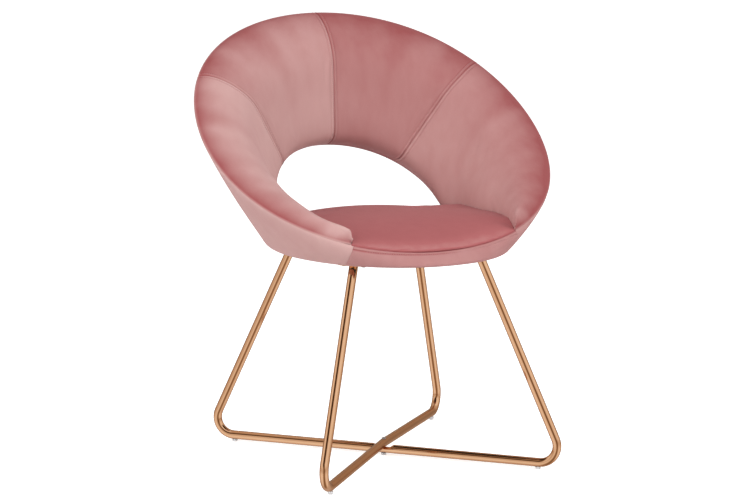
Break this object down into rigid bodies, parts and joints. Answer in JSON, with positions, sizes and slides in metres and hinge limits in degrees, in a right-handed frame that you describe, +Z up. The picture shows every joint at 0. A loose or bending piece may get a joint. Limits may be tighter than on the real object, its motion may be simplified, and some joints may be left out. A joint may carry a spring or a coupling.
{
  "type": "open-back round accent chair",
  "caption": "Round open-back accent chair: a padded velvet bowl sloping from high back to low front, bolted to crossed bent-tube leg frames.",
  "frame": {"origin": "on the floor under the crossing of the two leg frames, in the middle of the centre glide's underside", "axes": "+Z up, the sitter faces -Y, +X is the sitter's left"},
  "size_m": [0.6674, 0.5481, 0.7826],
  "materials": {
    "velvet": "dusty pink velvet, short pile",
    "seat_velvet": "dusty pink velvet, darker lay of the pile",
    "foam": "upholstery foam, hidden",
    "plywood": "bare plywood, hidden",
    "copper_tube": "polished rose-gold plating on steel tube",
    "steel": "zinc-plated",
    "clear_plastic": "translucent",
    "dust_cloth": "black non-woven cloth"
  },
  "bodies": {
    "root": {"arm_foam_left": "foam", "arm_foam_right": "foam", "arm_panel_left": "velvet", "arm_panel_right": "velvet", "back_foam_left": "foam", "back_foam_right": "foam", "back_panel_left": "velvet", "back_panel_right": "velvet", "cross_bolt": "steel", "dust_sheet": "dust_cloth", "front_band": "velvet", "glide_back_left": "clear_plastic", "glide_back_right": "clear_plastic", "glide_centre": "clear_plastic", "glide_front_left": "clear_plastic", "glide_front_right": "clear_plastic", "leg_bolt_back_left_1": "steel", "leg_bolt_back_left_2": "steel", "leg_bolt_back_right_1": "steel", "leg_bolt_back_right_2": "steel", "leg_bolt_front_left_1": "steel", "leg_bolt_front_left_2": "steel", "leg_bolt_front_right_1": "steel", "leg_bolt_front_right_2": "steel", "leg_frame_lower": "copper_tube", "leg_frame_upper": "copper_tube", "leg_plate_back_left": "steel", "leg_plate_back_right": "steel", "leg_plate_front_left": "steel", "leg_plate_front_right": "steel", "outer_cover_left": "velvet", "outer_cover_right": "velvet", "seat_board": "plywood", "seat_cover": "seat_velvet", "seat_foam": "foam", "shell_core": "plywood", "shell_screw_1": "steel", "shell_screw_2": "steel", "shell_screw_3": "steel", "shell_screw_4": "steel", "shell_screw_5": "steel", "shell_screw_6": "steel", "t_nut_back_left_1": "steel", "t_nut_back_left_2": "steel", "t_nut_back_right_1": "steel", "t_nut_back_right_2": "steel", "t_nut_front_left_1": "steel", "t_nut_front_left_2": "steel", "t_nut_front_right_1": "steel", "t_nut_front_right_2": "steel"}
  },
  "joints": []
}
